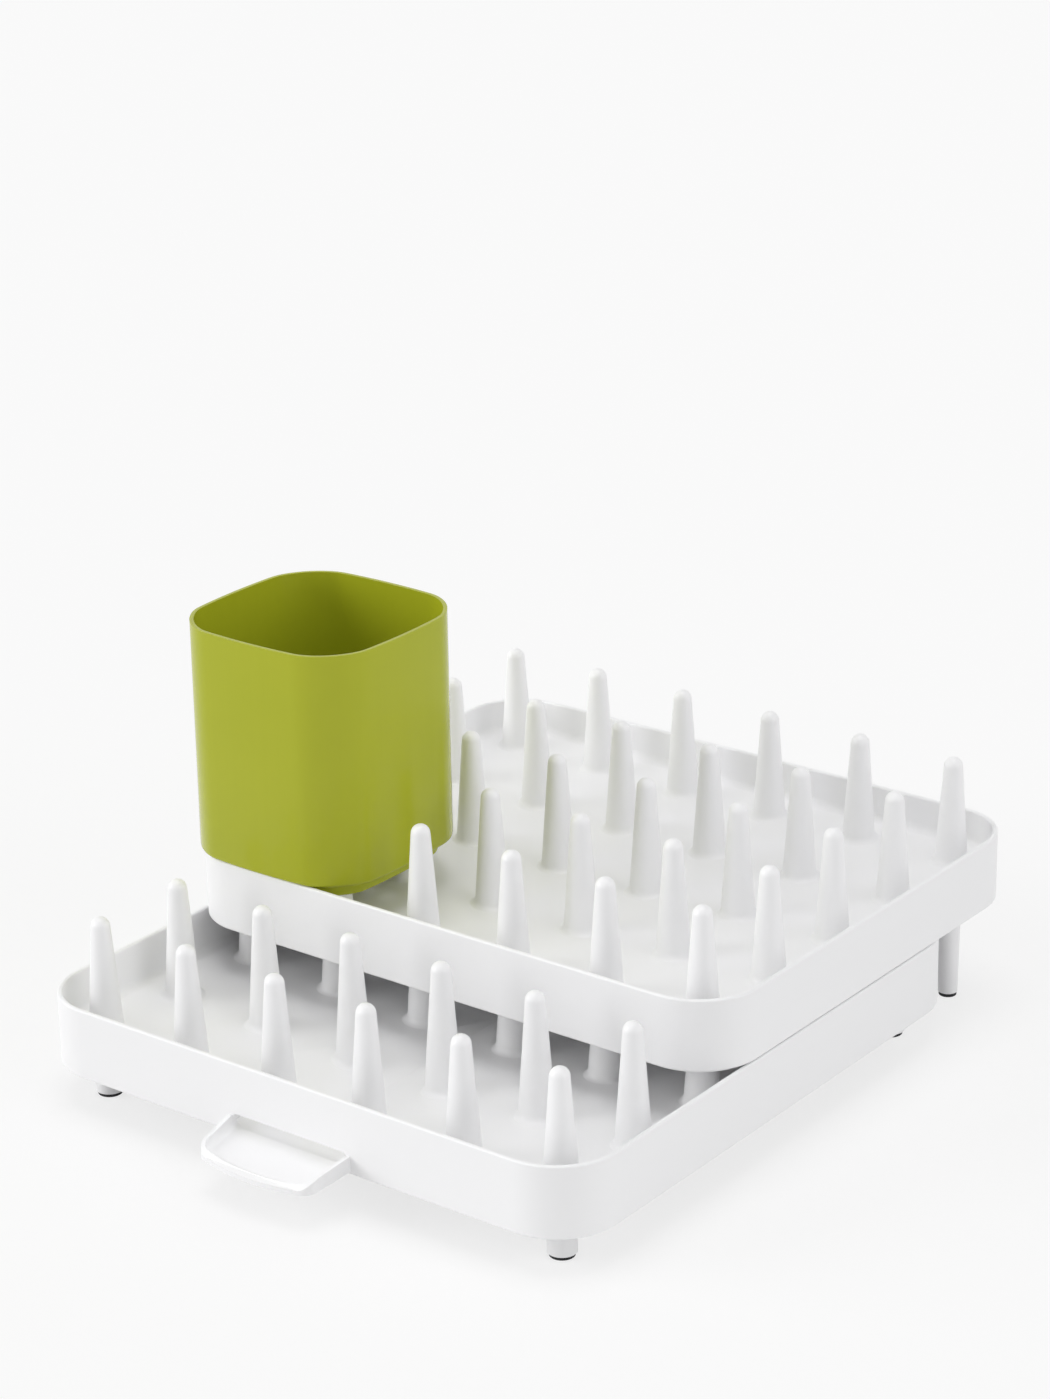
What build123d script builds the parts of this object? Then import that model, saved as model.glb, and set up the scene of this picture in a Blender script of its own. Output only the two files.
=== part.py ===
"""Two-tier dish drying rack with a cutlery drainer.

Two injection-moulded trays carry round, hollow pegs on one square grid. The upper tray stands on the
lower tray's rim with its pegs nested over the lower ones, and its rear edge stands on two legs of its
own. A spout in front of the lower tray drains it. The cutlery drainer is a cup with four sockets over
four of the upper pegs. Origin: on the ground under the middle of the whole set, +Y to the rear.
"""

from build123d import *
import os
from math import cos, hypot, radians, tan

# ---- Driving dimensions, millimetres ------------------------------------------------------------

# Peg grid, shared by both trays
pitch = 54.0
columns = 6
lower_rows = 6
upper_rows = 5
shared_rows = 4

# Tray walls
wall_margin = 25.0
wall_height = 36.0
wall = 2.5
corner_radius = 31.5
rim_fillet = 1.0
base_fillet = 1.6

# Heights above the ground, and the play between stacked pieces
pad_thickness = 2.0
lower_base = 19.0
stack_gap = 0.3
seat_gap = 0.05

# Floors: shallow cones that fall to one low point
floor_thickness = 2.3
floor_fillet = 4.0
lower_dish_low = 24.3
lower_dish_angle = 2.46
upper_dish_low = 66.6
upper_dish_angle = 1.9
upper_dish_row = 1.25

# Pegs: hollow cones with domed tips
peg_above_rim = 36.8
peg_tip_radius = 4.7
peg_draft = 3.83
peg_wall = 1.8
peg_cap = 3.0

# Posts under the lower tray's corner pegs and legs under the upper tray's rear corner pegs
post_radius = 6.9
post_bore = 4.5
leg_top_radius = 6.0
leg_foot_radius = 4.9
leg_bore = 3.1

# Rubber pads, each with a stem that plugs the bore above it
foot_pad_radius = 6.0
leg_pad_radius = 4.5
pad_stem_length = 7.0
pad_stem_play = 0.3

# Drain slot, the valley and gutter that lead to it, and the spout
slot_width = 68.0
slot_top = 29.5
slot_low = 23.0
slot_corner = 3.0
valley_high = 24.5
valley_reach = 140.0
valley_side = 6.0
gutter_width = 74.0
gutter_depth = 12.5
spout_wall = 1.8
spout_front_width = 66.0
spout_corner_reach = 25.0
spout_reach = 30.0
spout_fall = 6.0
spout_corner = 7.0
ear_top = 28.4
ear_fall = 9.0
ear_arc_start = 18.0
ear_arc_end = 26.5

# Cutlery drainer
cup_width = 112.4
cup_depth = 106.0
cup_bulge = 3.8
cup_corner = 35.0
cup_height = 118.0
cup_wall = 2.0
cup_shoulder_fillet = 3.5
cup_foot_inset = 9.0
cup_foot_drop = 6.0
cup_rim_fillet = 0.8
socket_play = 0.6
socket_wall = 1.8
socket_fillet = 2.5
hole_radius = 2.5
hole_spacing = 12.0
holes_each_way = 7

# ---- Sizes and places that follow ---------------------------------------------------------------

tray_width = (columns - 1) * pitch + 2 * wall_margin
lower_depth = (lower_rows - 1) * pitch + 2 * wall_margin
upper_depth = (upper_rows - 1) * pitch + 2 * wall_margin
rear_overhang = (upper_rows - shared_rows) * pitch

cup_overhang = (cup_width - pitch) / 2 - wall_margin
rack_x = cup_overhang / 2
lower_y = (spout_reach - rear_overhang) / 2
lower_front = lower_y - lower_depth / 2
upper_y = lower_y + (lower_depth - upper_depth) / 2 + rear_overhang
upper_dish_y = upper_y + (upper_dish_row - (upper_rows - 1) / 2) * pitch

lower_tip = lower_base + wall_height + peg_above_rim
upper_base = lower_base + wall_height + stack_gap
upper_rim = upper_base + wall_height
upper_tip = upper_rim + peg_above_rim

column_xs = [rack_x + (i - (columns - 1) / 2) * pitch for i in range(columns)]
lower_ys = [lower_y + (i - (lower_rows - 1) / 2) * pitch for i in range(lower_rows)]
upper_ys = [upper_y + (i - (upper_rows - 1) / 2) * pitch for i in range(upper_rows)]
lower_places = [(x, y) for x in column_xs for y in lower_ys]
upper_places = [(x, y) for x in column_xs for y in upper_ys]
post_places = [(x, y) for x in (column_xs[0], column_xs[-1]) for y in (lower_ys[0], lower_ys[-1])]
leg_places = [(x, upper_ys[-1]) for x in (column_xs[0], column_xs[-1])]

cup_x = (column_xs[0] + column_xs[1]) / 2
cup_y = (upper_ys[0] + upper_ys[1]) / 2
cup_base = upper_rim + stack_gap


def peg_radius(depth):
    """Outer radius of a peg at a depth below its tip."""
    return peg_tip_radius + depth * tan(radians(peg_draft))


def cone_between(low, high, low_radius, high_radius):
    """Turned solid on the Z axis from one height and radius to another."""
    with BuildPart() as turned:
        with BuildSketch(Plane.XZ):
            Polygon((0, low), (low_radius, low), (high_radius, high), (0, high), align=None)
        revolve(axis=Axis.Z)
    return turned.part


def cone_side(y, low, angle, level):
    """All that lies between a dish's cone and a level plane, around the dish's low point."""
    reach = tray_width
    rise = low + reach * tan(radians(angle))
    with BuildPart() as turned:
        with BuildSketch(Plane((rack_x, y, 0), x_dir=(1, 0, 0), z_dir=(0, -1, 0))):
            Polygon((0, low), (reach, rise), (reach, level), (0, level), align=None)
        revolve(axis=Axis((rack_x, y, 0), (0, 0, 1)))
    return turned.part


def inner_prism(y, depth, base, height):
    """Block that fills a tray between its walls."""
    with BuildPart() as block:
        with BuildSketch(Plane((rack_x, y, base))):
            RectangleRounded(tray_width - 2 * wall, depth - 2 * wall, corner_radius - wall)
        extrude(amount=height)
    return block.part


def space_in_tray(y, depth, base, dish_y, dish_low, dish_angle):
    """Space between the walls above the dished floor, rounded where the floor meets them."""
    with BuildPart() as space:
        add(inner_prism(y, depth, base, 2 * wall_height))
        add(cone_side(dish_y, dish_low, dish_angle, 2 * upper_rim), mode=Mode.INTERSECT)
        floor_edges = space.edges().filter_by(GeomType.LINE, reverse=True)
        fillet(floor_edges.filter_by_position(Axis.Z, base, base + wall_height), floor_fillet)
    return space.part


def space_under_tray(y, depth, base, dish_y, dish_low, dish_angle):
    """Space between the walls below the floor, which keeps one thickness all over."""
    with BuildPart() as space:
        add(inner_prism(y, depth, base, wall_height))
        underside = cone_side(dish_y, dish_low - floor_thickness, dish_angle, -upper_rim)
        add(underside, mode=Mode.INTERSECT)
    return space.part


def walled_block(y, depth, base, space):
    """Tray walls with a rounded foot and rim around the space in the tray, solid below it."""
    with BuildPart() as block:
        with BuildSketch(Plane((rack_x, y, base))):
            RectangleRounded(tray_width, depth, corner_radius)
        extrude(amount=wall_height)
        fillet(block.edges().group_by(Axis.Z)[0], base_fillet)
        add(space, mode=Mode.SUBTRACT)
        fillet(block.edges().group_by(Axis.Z)[-1], rim_fillet)
    return block.part


# ---- Drain valley, gutter, slot and spout -------------------------------------------------------

valley_length = lower_y - lower_front - wall
valley_rise = valley_high - slot_low


def valley(drop):
    """V-shaped wedge from the front wall to just above the dish's low point, lowered by a drop."""
    high = valley_reach * tan(radians(valley_side))
    start = (rack_x, lower_front + wall, slot_low - drop)
    with BuildPart() as wedge:
        with BuildSketch(Plane(start, x_dir=(1, 0, 0), z_dir=(0, -1, 0))):
            Polygon((0, 0), (valley_reach, high), (-valley_reach, high), align=None)
        extrude(amount=hypot(valley_length, valley_rise), dir=(0, valley_length, valley_rise))
    return wedge.part


def gutter(spread):
    """Block over the gutter behind the slot, larger by a spread behind, beside and below it."""
    with BuildPart() as block:
        with BuildSketch(Plane((rack_x, lower_front + wall, slot_low - spread))) as plan:
            Rectangle(gutter_width + 2 * spread, gutter_depth + spread, align=(Align.CENTER, Align.MIN))
            fillet(plan.vertices().group_by(Axis.Y)[-1], slot_corner + spread)
        extrude(amount=wall_height / 2)
    return block.part


def spout_level_at(reach):
    """Height of the spout's floor at a distance in front of the wall."""
    return slot_low - reach * tan(radians(spout_fall))


def spout_plan(inset):
    """Block with the spout's plan, bowed at the front and drawn in by an inset."""
    back = slot_width / 2 + spout_wall - inset
    front = spout_front_width / 2 - inset
    reach = spout_corner_reach - inset
    with BuildPart() as block:
        with BuildSketch(Plane((rack_x, lower_front, 0))) as plan:
            with BuildLine():
                Polyline((-front, -reach), (-back, 0), (-back, wall))
                Line((-back, wall), (back, wall))
                Polyline((back, wall), (back, 0), (front, -reach))
                ThreePointArc((front, -reach), (0, inset - spout_reach), (-front, -reach))
            make_face()
            fillet(plan.vertices().group_by(Axis.Y)[0], spout_corner - inset)
        extrude(amount=lower_base + wall_height)
    return block.part


with BuildPart() as slot_space:
    with BuildSketch(Plane.XZ.offset(-lower_front - wall)) as slot_outline:
        with Locations((rack_x, slot_top)):
            Rectangle(slot_width, slot_top - slot_low, align=(Align.CENTER, Align.MAX))
        fillet(slot_outline.vertices(), slot_corner)
    extrude(amount=wall)

# Side view of the spout: its floor, underside and ears fall forwards, and the ears end in an arc
nose = spout_reach + wall
with BuildPart() as spout_side:
    with BuildSketch(Plane.YZ.offset(rack_x)):
        with BuildLine():
            arc_start = (lower_front - ear_arc_start, ear_top - ear_arc_start * tan(radians(ear_fall)))
            arc_end = (lower_front - ear_arc_end, spout_level_at(ear_arc_end))
            ear = Line((lower_front, ear_top), arc_start)
            drop = TangentArc(arc_start, arc_end, tangent=ear % 1)
            Polyline(
                drop @ 1,
                (lower_front - nose, spout_level_at(nose)),
                (lower_front - nose, spout_level_at(nose) - floor_thickness),
                (lower_front, slot_low - floor_thickness),
                (lower_front + wall, slot_low - floor_thickness),
                (lower_front + wall, ear_top),
                ear @ 0,
            )
        make_face()
    extrude(amount=slot_width, both=True)

with BuildPart() as spout_space:
    with BuildSketch(Plane.YZ.offset(rack_x)):
        Polygon(
            (lower_front, slot_low),
            (lower_front - 2 * nose, spout_level_at(2 * nose)),
            (lower_front - 2 * nose, 2 * slot_top),
            (lower_front, 2 * slot_top),
            align=None,
        )
    extrude(amount=slot_width, both=True)
    add(spout_plan(spout_wall), mode=Mode.INTERSECT)
    bottom_edges = spout_space.faces().sort_by(Axis.Z)[0].edges()
    fillet(bottom_edges.sort_by(Axis.Y)[:-1], slot_corner)

with BuildPart() as spout:
    add(spout_plan(0))
    add(spout_side.part, mode=Mode.INTERSECT)
    add(spout_space.part, mode=Mode.SUBTRACT)

# ---- Pegs ---------------------------------------------------------------------------------------


def peg_shell(base, tip, core_base):
    """Turned peg with a domed tip, hollow from below, from a tray's base up."""
    flank = peg_radius(tip - base)
    core_tip = peg_radius(peg_cap) - peg_wall
    dome = peg_tip_radius * cos(radians(45))
    with BuildPart() as shell:
        with BuildSketch(Plane.XZ):
            with BuildLine():
                side = Polyline((core_base, base), (flank, base), (peg_tip_radius, tip - peg_tip_radius))
                cap = ThreePointArc(side @ 1, (dome, tip - peg_tip_radius + dome), (0, tip))
                Polyline(cap @ 1, (0, tip - peg_cap), (core_tip, tip - peg_cap), side @ 0)
            make_face()
        revolve(axis=Axis.Z)
    return shell.part


def standing_peg(shell, x, y, floor):
    """Peg cut off along the floor that it stands on."""
    with BuildPart() as peg:
        with Locations((x, y)):
            add(shell)
        split(bisect_by=floor.offset(seat_gap), keep=Keep.TOP)
    return peg.part


def dish_plane(x, y, dish_y, low, angle):
    """Plane that touches a dish's cone at a place on it."""
    away = Vector(x - rack_x, y - dish_y)
    slope = tan(radians(angle))
    inward = away.normalized() * -slope
    return Plane((x, y, low + away.length * slope), z_dir=(inward.X, inward.Y, 1))


def lower_floor_plane(x, y):
    """The lower tray's floor at a place: a side of its valley, or its dish where that is lower."""
    dish = dish_plane(x, y, *lower_floor)
    side = tan(radians(valley_side))
    fall = valley_rise / valley_length
    level = valley_high - (lower_y - y) * fall + abs(x - rack_x) * side
    if y > lower_y or dish.origin.Z < level:
        return dish
    return Plane((x, y, level), z_dir=(-side if x > rack_x else side, -fall, 1))


# ---- Lower rack: one moulding, its tray with slot, spout and posts, and its pegs ---------------

lower_floor = (lower_y, lower_dish_low, lower_dish_angle)
lower_space = space_in_tray(lower_y, lower_depth, lower_base, *lower_floor)
core_mouth = peg_radius(lower_tip - lower_base) - peg_wall
lower_peg = peg_shell(lower_base, lower_tip, core_mouth)
post_peg = peg_shell(lower_base, lower_tip, post_bore)
post_top = dish_plane(*post_places[0], *lower_floor).origin.Z - floor_thickness / 2

with BuildPart() as under_lower_tray:
    add(space_under_tray(lower_y, lower_depth, lower_base, *lower_floor))
    add(valley(floor_thickness), mode=Mode.SUBTRACT)
    add(gutter(floor_thickness), mode=Mode.SUBTRACT)

with BuildPart() as lower_tray:
    add(walled_block(lower_y, lower_depth, lower_base, lower_space))
    add(valley(0), mode=Mode.SUBTRACT)
    add(gutter(0), mode=Mode.SUBTRACT)
    add(under_lower_tray.part, mode=Mode.SUBTRACT)
    add(spout.part)
    add(slot_space.part, mode=Mode.SUBTRACT)
    with Locations(*[(x, y, pad_thickness) for x, y in post_places]):
        Cylinder(post_radius, post_top - pad_thickness, align=(Align.CENTER, Align.CENTER, Align.MIN))
        Cylinder(post_bore, upper_base, align=(Align.CENTER, Align.CENTER, Align.MIN), mode=Mode.SUBTRACT)
    with Locations(*[(x, y, lower_base) for x, y in lower_places if (x, y) not in post_places]):
        Cylinder(core_mouth, wall_height, align=(Align.CENTER, Align.CENTER, Align.MIN), mode=Mode.SUBTRACT)

with BuildPart() as lower_pegs:
    for x, y in lower_places:
        shell = post_peg if (x, y) in post_places else lower_peg
        add(standing_peg(shell, x, y, lower_floor_plane(x, y)))

# ---- Upper rack: one moulding, its tray with two long legs, and its nesting pegs ---------------

upper_floor = (upper_dish_y, upper_dish_low, upper_dish_angle)
upper_space = space_in_tray(upper_y, upper_depth, upper_base, *upper_floor)
upper_peg = peg_shell(upper_base, upper_tip, core_mouth)
leg_peg = peg_shell(upper_base, upper_tip, leg_bore)
leg_top = dish_plane(*leg_places[0], *upper_floor).origin.Z - floor_thickness / 2
leg = cone_between(pad_thickness, leg_top, leg_foot_radius, leg_top_radius)

with BuildPart() as upper_tray:
    add(walled_block(upper_y, upper_depth, upper_base, upper_space))
    add(space_under_tray(upper_y, upper_depth, upper_base, *upper_floor), mode=Mode.SUBTRACT)
    with Locations(*leg_places):
        add(leg)
    with Locations(*[(x, y, pad_thickness) for x, y in leg_places]):
        Cylinder(leg_bore, upper_rim, align=(Align.CENTER, Align.CENTER, Align.MIN), mode=Mode.SUBTRACT)
    with Locations(*[(x, y, upper_base) for x, y in upper_places if (x, y) not in leg_places]):
        Cylinder(core_mouth, wall_height, align=(Align.CENTER, Align.CENTER, Align.MIN), mode=Mode.SUBTRACT)

with BuildPart() as upper_pegs:
    for x, y in upper_places:
        shell = leg_peg if (x, y) in leg_places else upper_peg
        add(standing_peg(shell, x, y, dish_plane(x, y, *upper_floor)))

# ---- Cutlery drainer: cup with a stepped foot, four sockets and drain holes --------------------


def cup_block(low, high, inset):
    """Block with the cup's bulged plan between two heights, drawn in by an inset."""
    half_x = cup_width / 2 - cup_bulge - inset
    half_y = cup_depth / 2 - cup_bulge - inset
    corners = [(half_x, half_y), (-half_x, half_y), (-half_x, -half_y), (half_x, -half_y)]
    with BuildPart() as block:
        with BuildSketch(Plane((cup_x, cup_y, low))) as plan:
            with BuildLine():
                for start, end in zip(corners, corners[1:] + corners[:1]):
                    SagittaArc(start, end, -cup_bulge)
            make_face()
            fillet(plan.vertices(), cup_corner - inset)
        extrude(amount=high - low)
    return block.part


cup_foot_base = cup_base - cup_foot_drop
socket_top = upper_tip + stack_gap
socket_depth = socket_top - cup_foot_base
socket_mouth = peg_radius(socket_depth) + socket_play
socket_tip = peg_radius(0) + socket_play
socket_bore = cone_between(cup_foot_base, socket_top, socket_mouth, socket_tip)
with BuildPart() as socket:
    wide, narrow = socket_mouth + socket_wall, socket_tip + socket_wall
    add(cone_between(cup_foot_base, socket_top + socket_wall, wide, narrow))
    fillet(socket.edges().group_by(Axis.Z)[-1], socket_fillet)

hole_steps = [(i - (holes_each_way - 1) / 2) * hole_spacing for i in range(holes_each_way)]
hole_places = [(step, 0) for step in hole_steps] + [(0, step) for step in hole_steps if step]

with BuildPart() as cup_space:
    add(cup_block(cup_base + cup_wall, cup_base + cup_height, cup_wall))
    add(cup_block(cup_foot_base + cup_wall, cup_base + cup_wall, cup_foot_inset + cup_wall))

with BuildPart() as cutlery_drainer:
    add(cup_block(cup_base, cup_base + cup_height, 0))
    fillet(cutlery_drainer.edges().group_by(Axis.Z)[0], cup_shoulder_fillet)
    add(cup_block(cup_foot_base, cup_base, cup_foot_inset))
    add(cup_space.part, mode=Mode.SUBTRACT)
    fillet(cutlery_drainer.edges().group_by(Axis.Z)[-1], cup_rim_fillet)
    with Locations((cup_x, cup_y)):
        with GridLocations(pitch, pitch, 2, 2):
            add(socket.part)
        with GridLocations(pitch, pitch, 2, 2):
            add(socket_bore, mode=Mode.SUBTRACT)
    with Locations(*[(cup_x + x, cup_y + y, cup_foot_base) for x, y in hole_places]):
        Cylinder(hole_radius, 2 * cup_wall, mode=Mode.SUBTRACT)

# ---- Rubber pads --------------------------------------------------------------------------------


def rubber_pad(place, radius, bore):
    """Pad between the ground and a post or leg, with a stem up its bore."""
    with BuildPart() as pad:
        with Locations(place):
            Cylinder(radius, pad_thickness, align=(Align.CENTER, Align.CENTER, Align.MIN))
            Cylinder(
                bore - pad_stem_play,
                pad_thickness + pad_stem_length,
                align=(Align.CENTER, Align.CENTER, Align.MIN),
            )
    return pad.part


pieces = {
    "lower_tray": lower_tray.part,
    "lower_pegs": lower_pegs.part,
    "upper_tray": upper_tray.part,
    "upper_pegs": upper_pegs.part,
    "cutlery_drainer": cutlery_drainer.part,
}
foot_names = ("foot_pad_front_left", "foot_pad_rear_left", "foot_pad_front_right", "foot_pad_rear_right")
for name, place in zip(foot_names, post_places):
    pieces[name] = rubber_pad(place, foot_pad_radius, post_bore)
for name, place in zip(("leg_pad_left", "leg_pad_right"), leg_places):
    pieces[name] = rubber_pad(place, leg_pad_radius, leg_bore)

os.makedirs("parts", exist_ok=True)
for name, piece in pieces.items():
    piece.label = name
    export_step(piece, f"parts/{name}.step")
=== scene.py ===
from math import atan, cos, pi, radians, sin, tan

import bmesh
import bpy
from mathutils import Matrix, Vector


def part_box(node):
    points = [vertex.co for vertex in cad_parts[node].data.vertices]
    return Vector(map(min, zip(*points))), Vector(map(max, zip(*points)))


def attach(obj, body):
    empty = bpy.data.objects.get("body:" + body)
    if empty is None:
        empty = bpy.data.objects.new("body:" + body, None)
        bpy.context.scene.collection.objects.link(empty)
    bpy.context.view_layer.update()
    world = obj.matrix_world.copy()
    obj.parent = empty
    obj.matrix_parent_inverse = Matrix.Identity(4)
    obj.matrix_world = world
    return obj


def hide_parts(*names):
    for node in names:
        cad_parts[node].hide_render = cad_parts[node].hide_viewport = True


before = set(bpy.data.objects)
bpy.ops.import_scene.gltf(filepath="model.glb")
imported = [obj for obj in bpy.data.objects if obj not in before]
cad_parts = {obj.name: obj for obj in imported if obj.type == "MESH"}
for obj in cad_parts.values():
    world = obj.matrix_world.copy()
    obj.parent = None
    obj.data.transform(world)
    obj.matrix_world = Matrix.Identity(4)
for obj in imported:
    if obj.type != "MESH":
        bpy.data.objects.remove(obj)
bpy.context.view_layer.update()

# ---- Trays -----------------------------------------------------------------------------------
# Two injection-moulded trays in white polypropylene. The lower one has the drain slot, the
# spout and four short posts, and the upper one stands on its rim and on two long legs.

polypropylene_ior = 1.49


class Value:
    """A socket that a number can be read from, with sums written as plain Python."""

    def __init__(self, nodes, socket):
        self.nodes = nodes
        self.socket = socket

    def sum(self, operation, other):
        """A Math node on this value and another."""
        return self.nodes.node("ShaderNodeMath", {"operation": operation}, {0: self, 1: other})

    def __add__(self, other):
        return self.sum("ADD", other)

    def __mul__(self, other):
        return self.sum("MULTIPLY", other)

    __radd__ = __add__
    __rmul__ = __mul__


class Nodes:
    """A node tree of a material or of the sky, built one node at a time."""

    def __init__(self, tree):
        self.tree = tree

    def feed(self, socket, value):
        """Links a value to a socket, or sets the socket to a constant."""
        if isinstance(value, Value):
            self.tree.links.new(value.socket, socket)
        else:
            socket.default_value = value

    def node(self, kind, settings, sockets, output=0):
        """One node: its settings first, then its sockets' values or links."""
        made = self.tree.nodes.new(kind)
        for setting, value in settings.items():
            setattr(made, setting, value)
        for socket, value in sockets.items():
            self.feed(made.inputs[socket], value)
        return Value(self, made.outputs[output])

    def seen_as_backdrop(self):
        """One for the camera, a reflection or a clear material, and zero for the light."""
        rays = [f"Is {kind} Ray" for kind in ("Camera", "Glossy", "Transmission")]
        camera, glossy, clear = [self.node("ShaderNodeLightPath", {}, {}, ray) for ray in rays]
        return camera + glossy + clear


class Finish(Nodes):
    """A material on object coordinates, built around a Principled shader."""

    def __init__(self, name, constants):
        self.material = bpy.data.materials.new(name)
        self.material.use_nodes = True
        super().__init__(self.material.node_tree)
        self.shader = self.tree.nodes["Principled BSDF"]
        for socket, value in constants.items():
            self.shader.inputs[socket].default_value = value
        self.place = self.node("ShaderNodeTexCoord", {}, {}, "Object")

    def stretched(self, scale):
        """Object coordinates with a scale along each axis."""
        return self.node("ShaderNodeMapping", {}, {"Vector": self.place, "Scale": scale})

    def noise(self, scale, detail, place=None):
        """Noise between 0 and 1 with a number of patches in a metre."""
        sockets = {"Vector": place or self.place, "Scale": scale, "Detail": detail}
        return self.node("ShaderNodeTexNoise", {}, sockets)

    def between(self, mask, low, high):
        """Colour between two colours."""
        sockets = {"Factor": mask, 6: (*low, 1), 7: (*high, 1)}
        return self.node("ShaderNodeMix", {"data_type": "RGBA"}, sockets, 2)

    def relief(self, *layers):
        """Bumps laid over each other, each by its sockets, with its distance in metres."""
        normal = None
        for layer in layers:
            sockets = dict(layer)
            if normal:
                sockets["Normal"] = normal
            normal = self.node("ShaderNodeBump", {}, sockets)
        self.feed(self.shader.inputs["Normal"], normal)

    def surface(self, **values):
        """Feeds the shader's sockets, named with underscores for spaces."""
        for socket, value in values.items():
            self.feed(self.shader.inputs[socket.replace("_", " ")], value)


def white_plastic():
    """Satin white polypropylene: faint clouding, a fine spark-eroded grain, soft sink waves."""
    finish = Finish("white_plastic", {"IOR": polypropylene_ior})
    cloud = finish.noise(scale=16, detail=2)
    grain = finish.noise(scale=1500, detail=2)
    sink = finish.noise(scale=38, detail=1)
    duller = (0.920, 0.919, 0.929)
    brighter = (0.934, 0.933, 0.939)
    finish.surface(
        Base_Color=finish.between(cloud, duller, brighter),
        Roughness=0.34 + 0.08 * cloud + 0.06 * grain,
    )
    finish.relief(
        {"Height": sink, "Distance": 0.0004, "Strength": 0.12},
        {"Height": grain, "Distance": 0.00006, "Strength": 0.25},
    )
    return finish.material


white = white_plastic()
for name in ("lower_tray", "upper_tray"):
    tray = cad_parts[name]
    tray.data.materials.clear()
    tray.data.materials.append(white)

# ---- Pegs ------------------------------------------------------------------------------------
# Hollow tapered pegs with domed tips on one square grid, moulded with each tray. Each peg's
# root spreads into the floor that it stands on.

pitch = 0.054
columns = 6
grid_middle = 0.0021
grid_left = grid_middle - (columns - 1) / 2 * pitch
lower_rows = 6
lower_first_row = -0.147
lower_tip = 0.0918
upper_rows = 5
upper_first_row = -0.039
upper_tip = 0.1281

peg_height_from_base = 0.0728
peg_tip_radius = 0.0047
peg_base_radius = 0.00957
peg_taper = (peg_base_radius - peg_tip_radius) / (peg_height_from_base - peg_tip_radius)
peg_wall = 0.0018
peg_cap = 0.003
peg_root = 0.0036
peg_root_sink = 0.00015
peg_root_below_floor = 0.0012
peg_root_reach = 1.05
peg_length = 0.062
peg_steps = 36
root_bends = 5
dome_bends = 6
floor_reach = 0.0125
above_rack = 0.3
seed_size = 0.001
merge_distance = 0.000002
smooth_angle = radians(40)


def take(pieces):
    """Selects pieces and nothing else, with the first of them active."""
    bpy.ops.object.select_all(action="DESELECT")
    for piece in pieces:
        piece.select_set(True)
    bpy.context.view_layer.objects.active = pieces[0]


def join(pieces):
    """Joins pieces into the first of them."""
    take(pieces)
    bpy.ops.object.join()
    return bpy.context.object


def pick(kind, test):
    """Selects those vertices, edges or faces of the edited piece that pass a test."""
    bpy.ops.mesh.select_mode(type=kind)
    bpy.ops.mesh.select_all(action="DESELECT")
    data = bpy.context.object.data
    mesh = bmesh.from_edit_mesh(data)
    parts = {"VERT": mesh.verts, "EDGE": mesh.edges, "FACE": mesh.faces}[kind]
    for part in parts:
        if test(part):
            part.select_set(True)
    mesh.select_flush_mode()
    bmesh.update_edit_mesh(data)


def extrude(x, y, z):
    """Extrudes what is selected and moves the new end."""
    bpy.ops.mesh.extrude_region_move(TRANSFORM_OT_translate={"value": (x, y, z)})


def turned(name, profile, steps):
    """Round piece on the Z axis: a point led along radii and heights, and then spun."""
    bpy.ops.object.select_all(action="DESELECT")
    bpy.ops.mesh.primitive_plane_add(size=seed_size)
    piece = bpy.context.object
    piece.name = name
    bpy.ops.object.mode_set(mode="EDIT")
    bpy.ops.mesh.select_mode(type="VERT")
    bpy.ops.mesh.merge(type="CENTER")
    bpy.ops.transform.translate(value=(profile[0][0], 0, profile[0][1]))
    for (r0, z0), (r1, z1) in zip(profile, profile[1:]):
        extrude(r1 - r0, 0, z1 - z0)
    bpy.ops.mesh.select_all(action="SELECT")
    bpy.ops.mesh.spin(steps=steps, angle=2 * pi, center=(0, 0, 0), axis=(0, 0, 1))
    bpy.ops.mesh.select_all(action="SELECT")
    bpy.ops.mesh.remove_doubles(threshold=merge_distance)
    bpy.ops.mesh.normals_make_consistent(inside=False)
    bpy.ops.object.mode_set(mode="OBJECT")
    return piece


def peg_flank(depth):
    """A peg's outer radius at a depth below its tip."""
    return peg_tip_radius + (depth - peg_tip_radius) * peg_taper


def peg_pattern():
    """The peg that all others are copied from, with its tip at the origin."""
    draft = atan(peg_taper)
    floor = -peg_length
    root_centre = peg_flank(peg_length - peg_root) + peg_root / cos(draft)
    below = floor - peg_root_below_floor
    profile = [(0, -peg_cap), (peg_flank(peg_cap) - peg_wall, -peg_cap)]
    profile.append((peg_flank(-below) - peg_wall, below))
    profile += [(root_centre, below), (root_centre, floor)]
    for i in range(1, root_bends + 1):
        turn = (pi / 2 - draft) * i / root_bends
        height = floor + peg_root - peg_root * cos(turn)
        profile.append((root_centre - peg_root * sin(turn), height))
    for i in range(dome_bends + 1):
        turn = pi / 2 * i / dome_bends
        profile.append((peg_tip_radius * cos(turn), peg_tip_radius * (sin(turn) - 1)))
    return turned("peg_pattern", profile, peg_steps)


def floor_under(tray, x, y):
    """The height and the two slopes of a tray's floor around a place."""
    levels = []
    for dx, dy in ((floor_reach, 0), (-floor_reach, 0), (0, floor_reach), (0, -floor_reach)):
        start = Vector((x + dx, y + dy, above_rack))
        _, spot, _, _ = tray.ray_cast(start, Vector((0, 0, -1)))
        levels.append(spot.z)
    east, west, north, south = levels
    slope_x = (east - west) / (2 * floor_reach)
    slope_y = (north - south) / (2 * floor_reach)
    return sum(levels) / len(levels) - peg_root_sink, slope_x, slope_y


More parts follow.
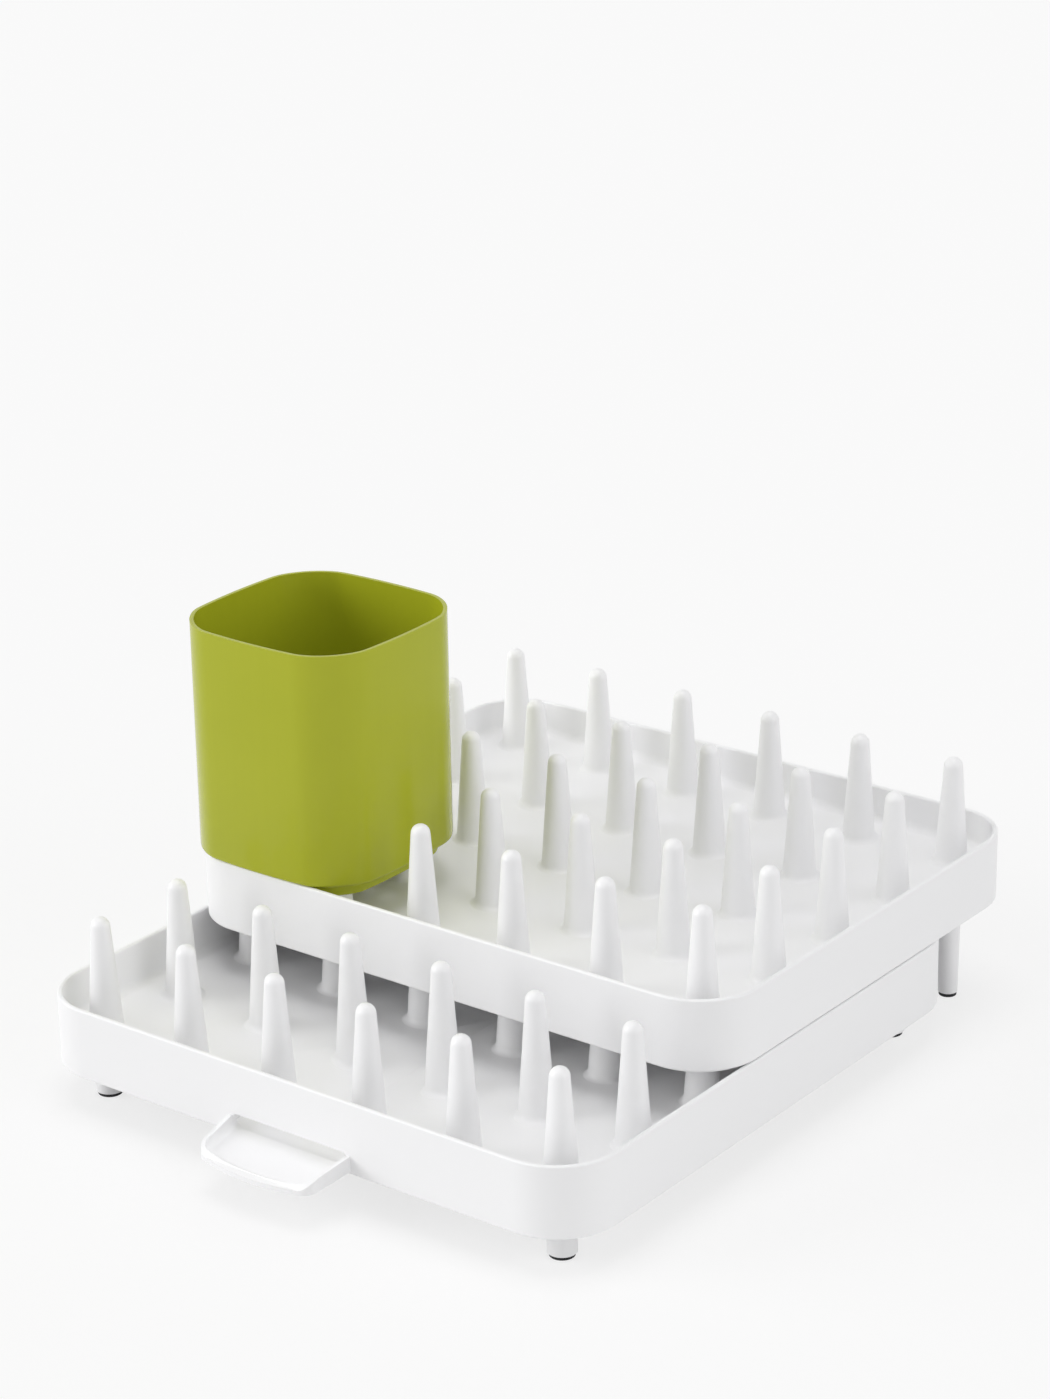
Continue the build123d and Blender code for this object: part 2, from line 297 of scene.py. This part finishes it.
def stand_peg(pattern, tray, x, y, tip):
    """A copy of the peg at its place, its root moved, widened and tilted to meet the floor."""
    peg = pattern.copy()
    peg.data = pattern.data.copy()
    bpy.context.scene.collection.objects.link(peg)
    floor, slope_x, slope_y = floor_under(tray, x, y)
    length = tip - floor
    take([peg])
    bpy.ops.object.mode_set(mode="EDIT")
    bpy.ops.mesh.select_all(action="SELECT")
    bpy.ops.transform.translate(value=(x, y, tip))
    root_top = tip - peg_length + peg_root_reach * peg_root
    pick("VERT", lambda v: v.co.z < root_top)
    wider = peg_flank(length - peg_root) / peg_flank(peg_length - peg_root)
    foot = (x, y, floor)
    bpy.ops.transform.translate(value=(0, 0, peg_length - length))
    bpy.ops.transform.resize(value=(wider, wider, 1), center_override=foot)
    bpy.ops.transform.rotate(value=atan(slope_x), orient_axis="Y", center_override=foot)
    bpy.ops.transform.rotate(value=-atan(slope_y), orient_axis="X", center_override=foot)
    bpy.ops.object.mode_set(mode="OBJECT")
    return peg


def peg_field(name, pattern, tray, first_row, rows, tip):
    """All the pegs of one tray as one piece."""
    pegs = []
    for column in range(columns):
        for row in range(rows):
            place = (grid_left + column * pitch, first_row + row * pitch)
            pegs.append(stand_peg(pattern, tray, *place, tip))
    field = join(pegs)
    field.name = name
    bpy.ops.object.shade_smooth_by_angle(angle=smooth_angle)
    field.data.materials.append(white)
    return field


pattern = peg_pattern()
lower_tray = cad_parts["lower_tray"]
lower_pegs = peg_field(
    "lower_peg_field", pattern, lower_tray, lower_first_row, lower_rows, lower_tip
)
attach(lower_pegs, "lower_rack")
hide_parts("lower_pegs")

upper_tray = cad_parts["upper_tray"]
upper_pegs = peg_field(
    "upper_peg_field", pattern, upper_tray, upper_first_row, upper_rows, upper_tip
)
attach(upper_pegs, "upper_rack")
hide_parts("upper_pegs")
bpy.data.objects.remove(pattern)

# ---- Cutlery drainer -------------------------------------------------------------------------
# A cup moulded in glossy green polypropylene: bulged sides, a foot set in below the shoulder,
# four sockets that slip over four pegs and a cross of drain holes.

cup_x = grid_left + pitch / 2
cup_y = -0.012
cup_shift = 0.0006
cup_half_x = 0.0506
cup_half_y = 0.05
cup_bulge = 0.0038
cup_corner = 0.024
cup_foot = 0.0841
cup_shoulder = 0.0916
cup_rim = 0.2096
cup_foot_inset = 0.0074
cup_wall = 0.002
cup_shoulder_round = 0.0018
cup_foot_round = 0.0012
cup_rim_round = 0.0008
corner_bends = 16
side_cuts = 9
shoulder_bends = 5
edge_bends = 3
rim_angle = radians(60)
on_axis = 0.000001
same_level = 0.00001
near_rim = 0.001
facing_up = 0.9
sharp_angle = 1

socket_top = 0.1284
socket_play = 0.0006
socket_round = 0.0026
socket_draft = radians(3.83)
socket_bends = 4
socket_steps = 48
hole_radius = 0.0025
hole_spacing = 0.012
holes_each_way = 3
hole_steps = 20
cut_reach = 0.002


def finish_with(piece, kind, settings):
    """Adds a modifier to a piece and applies it."""
    take([piece])
    modifier = piece.modifiers.new(kind.lower(), kind)
    for setting, value in settings.items():
        setattr(modifier, setting, value)
    bpy.ops.object.modifier_apply(modifier=modifier.name)


def level_with(height):
    """Test for an edge that lies at a height."""
    return lambda edge: all(abs(v.co.z - height) < same_level for v in edge.verts)


def cup_shell():
    """The cup without its sockets and holes."""
    bpy.ops.object.select_all(action="DESELECT")
    bpy.ops.mesh.primitive_plane_add(size=2)
    cup = bpy.context.object
    cup.name = "cutlery_cup"
    bpy.ops.object.mode_set(mode="EDIT")
    bpy.ops.transform.resize(value=(cup_half_x, cup_half_y, 1))
    bpy.ops.mesh.bevel(offset=cup_corner, segments=corner_bends, affect="VERTICES")
    pick("EDGE", lambda e: e.calc_length() > cup_corner / 2)
    bpy.ops.mesh.subdivide(number_cuts=side_cuts)
    bulging = {"use_proportional_edit": True, "proportional_edit_falloff": "INVERSE_SQUARE"}
    wider = (1 + cup_bulge / cup_half_x, 1, 1)
    deeper = (1, 1 + cup_bulge / cup_half_y, 1)
    pick("VERT", lambda v: abs(v.co.y) < on_axis)
    bpy.ops.transform.resize(value=wider, proportional_size=cup_half_y, **bulging)
    pick("VERT", lambda v: abs(v.co.x) < on_axis)
    bpy.ops.transform.resize(value=deeper, proportional_size=cup_half_x, **bulging)
    bpy.ops.mesh.select_all(action="SELECT")
    bpy.ops.transform.translate(value=(cup_x - cup_shift, cup_y, cup_rim))
    extrude(0, 0, cup_shoulder - cup_rim)
    bpy.ops.mesh.inset(thickness=cup_foot_inset)
    extrude(0, 0, cup_foot - cup_shoulder)
    top = cup_rim - near_rim
    pick("FACE", lambda f: abs(f.normal.z) > facing_up and f.calc_center_median().z > top)
    bpy.ops.mesh.delete(type="FACE")
    bpy.ops.mesh.select_all(action="SELECT")
    bpy.ops.mesh.normals_make_consistent(inside=False)
    at_shoulder = level_with(cup_shoulder)
    pick("EDGE", lambda e: at_shoulder(e) and e.calc_face_angle(0) > sharp_angle and e.is_convex)
    bpy.ops.mesh.bevel(offset=cup_shoulder_round, segments=shoulder_bends)
    pick("EDGE", level_with(cup_foot))
    bpy.ops.mesh.bevel(offset=cup_foot_round, segments=edge_bends)
    bpy.ops.object.mode_set(mode="OBJECT")
    finish_with(cup, "SOLIDIFY", {"thickness": cup_wall, "offset": -1, "use_even_offset": True})
    rounding = {"width": cup_rim_round, "segments": edge_bends}
    finish_with(cup, "BEVEL", {**rounding, "limit_method": "ANGLE", "angle_limit": rim_angle})
    return cup


def copies_joined(pattern, places):
    """Copies of a piece at several places, joined into one."""
    made = []
    for place in places:
        copy = pattern.copy()
        copy.data = pattern.data.copy()
        bpy.context.scene.collection.objects.link(copy)
        copy.data.transform(Matrix.Translation(place))
        made.append(copy)
    joined = join(made)
    bpy.data.objects.remove(pattern)
    return joined


def cut(piece, operation, tool):
    """Joins a tool to a piece or cuts it away, and removes the tool."""
    finish_with(piece, "BOOLEAN", {"operation": operation, "solver": "EXACT", "object": tool})
    bpy.data.objects.remove(tool)


cup = cup_shell()

socket_taper = tan(socket_draft)
socket_mouth = peg_tip_radius + (socket_top - cup_foot) * socket_taper + socket_play
socket_tip = peg_tip_radius + socket_play
corners = [(i, j) for i in (-1, 1) for j in (-1, 1)]
socket_places = [(cup_x + i * pitch / 2, cup_y + j * pitch / 2, 0) for i, j in corners]
socket_low = cup_foot + cup_wall / 2
outer_top = socket_top + cup_wall
outer = [(0, socket_low), (socket_mouth + cup_wall, socket_low)]
for i in range(socket_bends + 1):
    turn = pi / 2 * i / socket_bends
    radius = socket_tip + cup_wall - socket_round * (1 - cos(turn))
    outer.append((radius, outer_top - socket_round * (1 - sin(turn))))
outer.append((0, outer_top))
cut(cup, "UNION", copies_joined(turned("socket", outer, socket_steps), socket_places))

below = cup_foot - cut_reach
bore = [(0, below), (socket_mouth, below), (socket_tip, socket_top), (0, socket_top)]
cut(cup, "DIFFERENCE", copies_joined(turned("socket_bore", bore, socket_steps), socket_places))

steps = [i * hole_spacing for i in range(-holes_each_way, holes_each_way + 1)]
hole_places = [(cup_x + step, cup_y, 0) for step in steps]
hole_places += [(cup_x, cup_y + step, 0) for step in steps if step]
hole_top = cup_foot + 2 * cup_wall
hole = [(0, below), (hole_radius, below), (hole_radius, hole_top), (0, hole_top)]
cut(cup, "DIFFERENCE", copies_joined(turned("drain_hole", hole, hole_steps), hole_places))
take([cup])
bpy.ops.object.shade_smooth_by_angle(angle=smooth_angle)


def green_plastic():
    """Glossy green polypropylene, a little uneven, with faint upright streaks in its gloss and
    relief that are also painted into its colour as reflections.
    """
    constants = {"IOR": polypropylene_ior, "Specular IOR Level": 0.3}
    finish = Finish("green_plastic", constants)
    cloud = finish.noise(scale=18, detail=2)
    upright_streaks = (260, 260, 9)
    gloss_streaks_and_painted_reflection = finish.noise(scale=1, detail=3, place=finish.stretched(upright_streaks))
    grain = finish.noise(scale=1800, detail=1)
    deeper = (0.385, 0.42, 0.017)
    lighter = (0.44, 0.47, 0.024)
    finish.surface(
        # Three tenths of the colour follows the upright streaks, which are painted reflection
        # streaks like those of lamps on glossy plastic; the same streaks also vary the roughness
        # and the relief.
        Base_Color=finish.between(0.7 * cloud + 0.3 * gloss_streaks_and_painted_reflection, deeper, lighter),
        Roughness=0.12 + 0.06 * cloud + 0.05 * gloss_streaks_and_painted_reflection,
    )
    finish.relief(
        {"Height": gloss_streaks_and_painted_reflection, "Distance": 0.00008, "Strength": 0.12},
        {"Height": grain, "Distance": 0.00003, "Strength": 0.15},
    )
    return finish.material


cup.data.materials.clear()
cup.data.materials.append(green_plastic())
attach(cup, "cutlery_drainer")
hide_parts("cutlery_drainer")

# ---- Rubber pads -----------------------------------------------------------------------------
# Six moulded pads of black rubber, under the four posts and the two legs. Each has a stem that
# is pushed up the bore above it.

pad_thickness = 0.002
pad_round = 0.0004
pad_steps = 48
post_stem_radius = 0.0042
leg_stem_radius = 0.0028


def rubber():
    """Matt black rubber with a fine grain and a trace of grey dust."""
    finish = Finish("rubber", {"IOR": 1.5, "Specular IOR Level": 0.2})
    dust = finish.noise(scale=260, detail=3)
    grain = finish.noise(scale=2600, detail=2)
    clean = (0.012, 0.012, 0.014)
    dusty = (0.035, 0.035, 0.038)
    finish.surface(
        Base_Color=finish.between(dust, clean, dusty),
        Roughness=0.55 + 0.2 * dust,
    )
    finish.relief({"Height": grain, "Distance": 0.00005, "Strength": 0.4})
    return finish.material


def rubber_pad(node, stem_radius, body):
    """Pad of the size and place of its CAD node, with rounded edges and a stem."""
    low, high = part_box(node)
    centre = (low + high) / 2
    radius = (high.x - low.x) / 2
    bpy.ops.object.select_all(action="DESELECT")
    bpy.ops.mesh.primitive_cylinder_add(vertices=pad_steps, radius=radius, depth=pad_thickness)
    pad = bpy.context.object
    pad.name = "rubber_" + node
    bpy.ops.object.mode_set(mode="EDIT")
    bpy.ops.transform.translate(value=(centre.x, centre.y, pad_thickness / 2))
    pick("FACE", lambda f: f.normal.z > facing_up)
    bpy.ops.mesh.inset(thickness=radius - stem_radius)
    extrude(0, 0, high.z - pad_thickness)
    bpy.ops.object.mode_set(mode="OBJECT")
    rounding = {"width": pad_round, "segments": edge_bends, "limit_method": "ANGLE"}
    finish_with(pad, "BEVEL", rounding)
    bpy.ops.object.shade_smooth_by_angle(angle=smooth_angle)
    pad.data.materials.append(black)
    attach(pad, body)
    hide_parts(node)


black = rubber()
for side in ("left", "right"):
    for end in ("front", "rear"):
        rubber_pad(f"foot_pad_{end}_{side}", post_stem_radius, "lower_rack")
    rubber_pad(f"leg_pad_{side}", leg_stem_radius, "upper_rack")

# ---- Studio ----------------------------------------------------------------------------------
# Pale floor that runs to the horizon, an even white sky and three broad soft lamps: low from
# the front left, low from the right, and from above.

floor_size = 24
backdrop_share = 0.72
sky_light = 0.41
sky_look = 0.95
camera_place = (1.0152, -1.3089, 0.8208)
azimuth, elevation, roll = radians(37.556), radians(21.026), radians(-1.008)

bpy.ops.object.select_all(action="DESELECT")
bpy.ops.mesh.primitive_plane_add(size=floor_size)
ground = bpy.context.object
ground.name = "studio_floor"
paint = Finish("floor_paint", {"Roughness": 0.9, "Specular IOR Level": 0.0})
shade = paint.noise(scale=2, detail=1)
paint.surface(Base_Color=paint.between(shade, (0.895, 0.895, 0.895), (0.905, 0.905, 0.905)))
white_light = paint.node("ShaderNodeEmission", {}, {"Color": (1, 1, 1, 1), "Strength": 1})
own_look = Value(paint, paint.shader.outputs["BSDF"])
shares = {0: backdrop_share * paint.seen_as_backdrop(), 1: own_look, 2: white_light}
mixed = paint.node("ShaderNodeMixShader", {}, shares)
paint.feed(paint.tree.nodes["Material Output"].inputs["Surface"], mixed)
ground.data.materials.append(paint.material)


def soft_lamp(name, toward, energy, spread):
    """A broad distant lamp that shines from a direction."""
    bpy.ops.object.light_add(type="SUN", location=toward)
    lamp = bpy.context.object
    lamp.name = name
    lamp.data.energy = energy
    lamp.data.angle = spread
    lamp.rotation_euler = toward.to_track_quat("Z", "Y").to_euler()
    return lamp


left = soft_lamp("left_lamp", Vector((-0.74, -0.6, 0.3)), energy=1.55, spread=radians(40))
right = soft_lamp("right_lamp", Vector((0.93, 0.05, 0.35)), energy=0.8, spread=radians(50))
top = soft_lamp("top_lamp", Vector((-0.02, -0.02, 1)), energy=0.83, spread=radians(35))

sky = bpy.data.worlds.new("sky")
sky.use_nodes = True
dome = Nodes(sky.node_tree)
background = dome.tree.nodes["Background"]
background.inputs["Color"].default_value = (1, 1, 1, 1)
strength = sky_light + (sky_look - sky_light) * dome.seen_as_backdrop()
dome.feed(background.inputs["Strength"], strength)
bpy.context.scene.world = sky

camera_data = bpy.data.cameras.new("camera")
camera_data.lens = 97
camera_data.sensor_width = 36
camera = bpy.data.objects.new("camera", camera_data)
bpy.context.scene.collection.objects.link(camera)
camera.matrix_world = (
    Matrix.Translation(camera_place)
    @ Matrix.Rotation(azimuth, 4, "Z")
    @ Matrix.Rotation(pi / 2 - elevation, 4, "X")
    @ Matrix.Rotation(roll, 4, "Z")
)
bpy.context.scene.camera = camera
bpy.context.scene.view_settings.view_transform = "Standard"
